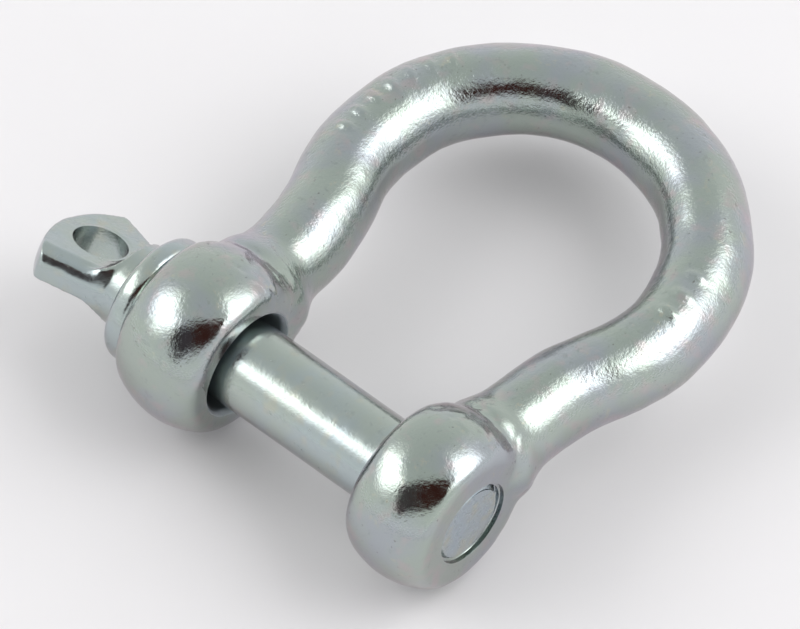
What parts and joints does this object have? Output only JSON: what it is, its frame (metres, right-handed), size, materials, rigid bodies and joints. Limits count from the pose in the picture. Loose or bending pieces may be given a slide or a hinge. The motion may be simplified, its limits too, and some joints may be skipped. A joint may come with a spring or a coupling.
{
  "type": "bow shackle",
  "caption": "Forged bow shackle with a threaded screw pin that turns and travels out of the jaw; flat tang with an eye.",
  "frame": {"origin": "on the pin's axis, in the middle of the jaw", "axes": "+X along the pin to the threaded ear, +Y to the crown of the bow, +Z square to the bow's plane"},
  "size_m": [0.0639, 0.0687, 0.0208],
  "materials": {
    "zinc_forging": "bright zinc plated forging, slightly pitted",
    "zinc_pin": "bright zinc plated, smooth"
  },
  "bodies": {
    "bow": {"bow": "zinc_forging"},
    "pin_shank": {"pin_shank": "zinc_pin"},
    "pin_screw": {"pin_head": "zinc_pin", "pin_thread": "zinc_pin"}
  },
  "joints": [
    {"name": "pin_travel", "type": "slide", "parent": "bow", "child": "pin_shank", "axis": [-1, 0, 0], "range_m": [0, 0.0445]},
    {"name": "pin_turn", "type": "hinge", "parent": "pin_shank", "child": "pin_screw", "pos_m": [0, 0, 0], "axis": [-1, 0, 0], "range_deg": [0, 10620]}
  ],
  "couplings": [
    {"joint": "pin_travel", "follows": "pin_turn", "m_per_rad": 0.00023873}
  ]
}
